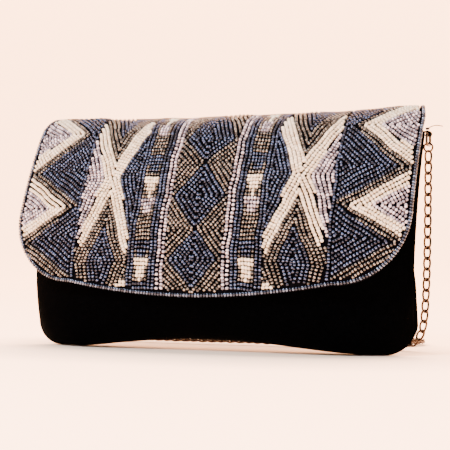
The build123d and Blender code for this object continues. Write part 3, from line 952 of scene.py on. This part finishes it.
def build_fold(chart):
    """The velvet strip that joins the flap's back end to the pouch's back, outside."""
    backwards = np.array([0, math.cos(LEAN), -math.sin(LEAN)])
    bridge_share = np.linspace(0, 1, 7)[1:-1, None]
    columns = []
    for x in np.linspace(-FOLD_HALF_WIDTH, FOLD_HALF_WIDTH, 61):
        upper = chart.point(np.full(11, x), np.linspace(13, 0.6, 11), np.full(11, -0.1))
        back = back_face(np.full(9, x), np.linspace(0.998, 0.93, 9)) + backwards * HINGE_GAP
        bow = backwards * 0.35 * np.sin(math.pi * bridge_share)
        columns.append(np.concatenate([upper, between(upper[-1], back[0], bridge_share) + bow, back]))
    grid = np.array(columns)
    normals = grid_normals(grid)
    if np.mean(normals[:, :, 1]) < 0:
        normals = -normals
    fold = shell("flap_fold_velvet", grid + normals * 0.5, grid - normals * 0.25, VELVET_BLACK)
    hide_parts("flap_fold")
    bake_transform(fold)


# ---- the pouch ----
def face_grid(face, x_limit, share_from, share_to, columns, rows, depth, wrinkle=0):
    """A grid at a depth under one of the pouch's faces."""
    xs = np.sin(np.linspace(-math.pi / 2, math.pi / 2, columns)) * x_limit
    shares = np.linspace(share_from, share_to, rows)
    x, share = np.meshgrid(xs, shares, indexing="ij")
    grid = face(x, share)
    normals = grid_normals(grid)
    if (face is front_face) == (np.mean(normals[:, :, 1]) > 0):
        normals = -normals
    return grid + normals * (wrinkle * drape(x, share) - depth)[..., None]


def drape(x, share):
    """Soft, uneven fullness of the velvet, from 0 to 1."""
    waves = (
        np.sin(x / 31 + 2.2 * share) * np.sin(5.1 * share + 0.4)
        + 0.6 * np.sin(x / 13 - 7 * share + 1.3)
        + 0.35 * np.sin(x / 7.5 + 11 * share)
    )
    edge = np.clip((1 - np.abs(x / BODY_HALF_WIDTH)) * 8, 0, 1)
    return (waves / 1.95 + 1) / 2 * edge


def build_sheet(name, node, slot, face, half_width, shares, grid, depths, material, wrinkle=0, **options):
    """One sheet of the pouch, between two depths under one of its faces."""
    outer = face_grid(face, half_width, *shares, *grid, depths[0], wrinkle)
    inner = face_grid(face, half_width, *shares, *grid, depths[1])
    attach(shell(name, outer, inner, material, **options), "pouch", node)


def build_pouch():
    for side, face in (("front", front_face), ("back", back_face)):
        build_sheet(
            f"{side}_velvet", f"{side}_panel", "velvet", face, BODY_HALF_WIDTH, (0, 1), (121, 91),
            (0, SEAM_OFFSET), VELVET_BLACK, VELVET_WRINKLE,
        )
        build_sheet(
            f"{side}_satin", f"lining_{side}", "lining", face, INSIDE_HALF_WIDTH, (0.13, 0.985), (81, 61),
            (LINING_DEPTH, LINING_DEPTH + LINING), LINING_SATIN,
        )
        build_sheet(
            f"{side}_mouth_facing", f"mouth_facing_{side}", "velvet", face, INSIDE_HALF_WIDTH,
            (0.88, 0.995), (81, 17), (FACING_TOP_DEPTH, FACING_DEPTH + FACING), VELVET_BLACK,
        )


def build_pocket():
    under = POCKET_DEPTH + LINING
    build_sheet(
        "slip_pocket_satin", "slip_pocket", "lining", back_face, POCKET_HALF_WIDTH, (0.36, 0.79),
        (41, 31), (POCKET_DEPTH, under), LINING_SATIN,
    )
    build_sheet(
        "slip_pocket_binding", "pocket_binding", "tape", back_face, POCKET_HALF_WIDTH, (0.785, 0.815),
        (41, 7), (POCKET_DEPTH - BINDING_SWELL, under + BINDING_SWELL), BINDING, edge_swell=0.5,
    )


# ---- the strap ----
LINK_PITCH = 6.6
LINK_WIRE = 0.74
LINK_HALF_LENGTH = 3.95
LINK_HALF_WIDTH = 1.9
LINK_TWIST = math.radians(84)
LINK_ROLL = 0.16


def route_line():
    """Points along the route's smooth line, in millimetres."""
    curve = bpy.data.curves.new("strap_route", "CURVE")
    curve.dimensions = "3D"
    curve.resolution_u = 12
    spline = curve.splines.new("NURBS")
    spline.points.add(len(CHAIN_ROUTE) - 1)
    for point, place in zip(spline.points, CHAIN_ROUTE):
        point.co = (*(value * MM for value in place), 1)
    spline.order_u = 3
    spline.use_endpoint_u = True
    holder = add_object("strap_route", curve)
    bpy.context.view_layer.update()
    line = bpy.data.meshes.new_from_object(holder)
    points = np.array([vertex.co[:] for vertex in line.vertices]) / MM
    bpy.data.objects.remove(holder)
    return points


def link_loop(segments=20):
    """One twisted oval link along the first axis, as a closed line."""
    angles = np.linspace(0, 2 * math.pi, segments, endpoint=False)
    along = LINK_HALF_LENGTH * np.sign(np.cos(angles)) * np.abs(np.cos(angles)) ** 0.8
    across = LINK_HALF_WIDTH * np.sign(np.sin(angles)) * np.abs(np.sin(angles)) ** 0.6
    twist = LINK_TWIST * along / (2 * LINK_HALF_LENGTH)
    return np.stack([along, across * np.cos(twist), across * np.sin(twist)], axis=1)


def build_chain():
    points = route_line()
    length = run_lengths(points)
    count = int(length[-1] / LINK_PITCH)
    at = (np.arange(count) + 0.5) * length[-1] / count
    places = np.stack([np.interp(at, length, axis) for axis in points.T], -1)
    rng = random.Random(SEED)
    parts = []
    loop = link_loop()
    for place, tangent in zip(places, unit(np.gradient(places, axis=0))):
        flat = np.array([tangent[1], -tangent[0], 0])
        upright = smooth_step(abs(tangent[2]) * 1.6 - 0.3)
        facing = np.array([math.copysign(1, flat[0]), 0, 0])
        wide = flat * (1 - upright) + facing * upright
        wide = unit(wide - tangent * np.dot(wide, tangent))
        roll = rng.uniform(-LINK_ROLL, LINK_ROLL)
        turned = wide * math.cos(roll) + np.cross(tangent, wide) * math.sin(roll)
        deep = np.cross(tangent, turned)
        line = place + loop[:, :1] * tangent + loop[:, 1:2] * turned + loop[:, 2:3] * deep
        parts.append(tube(line, LINK_WIRE, 6, closed=True))
    chain = make_object("strap_chain", *join_parts(parts), ROSE_GOLD)
    attach(chain, "pouch", "chain_strap")


TAB_RADIUS = 1.9
TAB_BORE = 1.05
TAB_ROOT = 6.4


def centre_of(node):
    low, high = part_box(node)
    return (Vector(low) + Vector(high)) / 2 / MM


def arc(radius, start, end):
    """17 points of an arc, as (x, z), between two angles in degrees."""
    angles = np.linspace(math.radians(start), math.radians(end), 17)
    return [(math.cos(angle) * radius, math.sin(angle) * radius) for angle in angles]


def build_tab(name, sign):
    """A folded velvet tab round the ring's bar, with a stitched root."""
    bar = centre_of(f"strap_tab_{name}")
    low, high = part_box(f"strap_tab_{name}")
    half_depth = (high[1] - low[1]) / 2 / MM
    bar_x = (high[0] if sign > 0 else low[0]) / MM - sign * TAB_RADIUS
    bar_z = high[2] / MM - TAB_RADIUS
    outside = [(-TAB_ROOT, 1.45), *arc(TAB_RADIUS, 115, -125), (-TAB_ROOT, 0.25)]
    inside = [(0.4 - TAB_ROOT, 0.55), *arc(TAB_BORE, -125, 115), (0.4 - TAB_ROOT, 1.15)]
    profile = outside + inside
    count = len(profile)
    slices = 9
    vertices, faces = [], []
    for k in range(slices):
        y = between(-half_depth, half_depth, k / (slices - 1))
        pinch = 1 - 0.06 * abs(2 * k / (slices - 1) - 1) ** 3
        for px, pz in profile:
            vertices.append((bar_x + sign * px * pinch, bar.y + y, bar_z + pz * pinch))
    for k in range(slices - 1):
        faces += ring_faces(k * count, (k + 1) * count, count)
    faces.append(tuple(range(count)))
    faces.append(tuple(range((slices - 1) * count, slices * count))[::-1])
    tab = make_object(f"{name}_strap_tab", vertices, faces, VELVET_BLACK, smooth=False)
    recalculate(tab)
    attach(tab, "pouch", f"strap_tab_{name}")


def build_knot(name, sign):
    """The tab's sewing thread: a small overhand knot with one loose end."""
    centre = np.array(centre_of(f"thread_knot_{name}"))
    turn = np.linspace(0, 2 * math.pi, 60, endpoint=False)
    across = np.sin(turn) + 2 * np.sin(2 * turn)
    along = np.cos(turn) - 2 * np.cos(2 * turn)
    loop = np.stack([across, along, -np.sin(3 * turn) * 1.3], axis=1)
    knot = tube(centre + loop * 0.36, 0.34, 7, closed=True)
    reach = np.linspace(0, 1, 14)[:, None]
    end = np.array([sign * (9.8 if sign > 0 else 4.6), -0.4, 1.4])
    curl = np.array([0, 0.2, 1.1])
    tail = tube(centre + end * reach + curl * np.sin(reach * 3.4), 0.3, 5)
    down = tube(centre + np.array([-sign * 0.6, 0, -2.2]) * reach, 0.22, 5)
    piece = make_object(f"{name}_thread_knot", *join_parts([knot, tail, down]), THREAD)
    attach(piece, "pouch", f"thread_knot_{name}")


# ---- carried-over CAD pieces ----
CAD_MATERIALS = {
    BOARD: ("front_stiffener", "back_stiffener", "flap_stiffener"),
    TAPE: ("seam_tape_left", "seam_tape_right", "seam_tape_bottom"),
    NICKEL: ("snap_socket", "snap_socket_washer", "snap_stud", "snap_stud_washer"),
    MAGNET: ("snap_magnet",),
    ROSE_GOLD: ("d_ring_left", "d_ring_right", "end_link_left", "end_link_right"),
}


def dress_cad_nodes():
    for material, nodes in CAD_MATERIALS.items():
        for node in nodes:
            piece = frame["nodes"][node]
            if not piece.material_slots:
                piece.data.materials.append(material)
            for material_slot in piece.material_slots:
                material_slot.material = material


# ---- camera, light and floor ----
CAMERA_PLACE = (0.3189, -0.7683, 0.0636)
CAMERA_AZIMUTH = math.radians(21.99)
CAMERA_RISE = math.radians(1)
CAMERA_ROLL = math.radians(0.2)
SENSOR_MM = 36
LENS_MM = 104
SHIFT = (-0.0046, 0.0061)
BACKDROP_COLOUR = (0.95, 0.8, 0.68)
BACKDROP_GLOW = (1, 0.5, 0.27)
GLOW_STRENGTH = 6.6
FLOOR_HALF_WIDTH = 3500
FLOOR_DEPTH = 1500
COVE_RADIUS = 900
# painted contact shadow on the floor: how far from the clutch its glow is dimmed, and how sharply
CONTACT_SHADE_REACH = 0.1
CONTACT_SHADE_POWER = 3


def build_camera():
    camera = add_object("camera", bpy.data.cameras.new("camera"))
    camera.data.sensor_width = SENSOR_MM
    camera.data.lens = LENS_MM
    camera.data.shift_x, camera.data.shift_y = SHIFT
    camera.data.clip_start = 0.01
    level = math.cos(CAMERA_RISE)
    away = math.cos(CAMERA_AZIMUTH) * level
    forward = Vector((-math.sin(CAMERA_AZIMUTH) * level, away, math.sin(CAMERA_RISE)))
    turn = forward.to_track_quat("-Z", "Y").to_matrix() @ Matrix.Rotation(CAMERA_ROLL, 3, "Z")
    camera.matrix_world = Matrix.Translation(CAMERA_PLACE) @ turn.to_4x4()
    bpy.context.scene.camera = camera


def build_light():
    world_data = bpy.data.worlds.new("studio")
    bpy.context.scene.world = world_data
    world_data.use_nodes = True
    background = world_data.node_tree.nodes["Background"]
    background.inputs["Color"].default_value = (*BACKDROP_COLOUR, 1)
    background.inputs["Strength"].default_value = 0.3
    lamps = [
        ("key", (-0.45, -1.05, 0.95), (0.4, 0.4), 30, (0.97, 0.98, 1)),
        ("fill", (1, -0.75, 0.45), (0.5, 0.5), 9, (0.95, 0.97, 1)),
        ("top", (0, 0.1, 1.3), (1, 0.6), 12, (1, 0.98, 0.96)),
    ]
    for name, place, size, power, colour in lamps:
        data = bpy.data.lights.new(name, "AREA")
        data.shape = "RECTANGLE"
        data.size, data.size_y = size
        data.energy = power
        data.color = colour
        lamp = add_object(name, data)
        aim = Vector((0, 0, 0.07)) - Vector(place)
        lamp.matrix_world = Matrix.Translation(place) @ aim.to_track_quat("-Z", "Y").to_matrix().to_4x4()


def build_floor():
    """A pale floor that curves up far behind the clutch. Its glow is dimmed close to the clutch and chain
    by ambient occlusion, a painted contact shadow.
    """
    material, tree, shader = new_material("pale_floor", BACKDROP_COLOUR, 0.9)
    shader.inputs["Emission Color"].default_value = (*BACKDROP_GLOW, 1)
    # painted contact shadow: ambient occlusion dims the floor's glow where the clutch or chain is close
    # by
    source = add_node(tree, "AmbientOcclusion", Distance=CONTACT_SHADE_REACH).outputs["AO"]
    for operation, value in (("POWER", CONTACT_SHADE_POWER), ("MULTIPLY", GLOW_STRENGTH)):
        node = add_node(tree, "Math", operation=operation)
        node.inputs[1].default_value = value
        tree.links.new(source, node.inputs[0])
        source = node.outputs[0]
    tree.links.new(source, shader.inputs["Emission Strength"])
    bump(tree, shader, noise_height(tree, 40), 0.2 * MM, 0.1)
    profile = [(-2500, 0), (0, 0), (FLOOR_DEPTH, 0)]
    for angle in np.linspace(0, math.pi / 2, 24)[1:]:
        rise = COVE_RADIUS * (1 - math.cos(angle))
        profile.append((FLOOR_DEPTH + COVE_RADIUS * math.sin(angle), rise))
    profile.append((FLOOR_DEPTH + COVE_RADIUS, 4000))
    xs = (-FLOOR_HALF_WIDTH, 0, FLOOR_HALF_WIDTH)
    vertices = [(x, y, z) for x in xs for y, z in profile]
    faces = grid_faces(np.arange(len(vertices)).reshape(len(xs), -1))
    floor = make_object("studio_floor", vertices, faces, material)


# ---- assembly ----
build_camera()
build_light()
build_floor()
build_chain()
for side_name, side_sign in (("left", -1), ("right", 1)):
    build_tab(side_name, side_sign)
    build_knot(side_name, side_sign)
dress_cad_nodes()
build_pouch()
build_pocket()
flap_chart = FlapChart()
build_bead_field(flap_chart)
build_edge_beads(flap_chart)
build_flap_cloth(flap_chart)
build_fold(flap_chart)
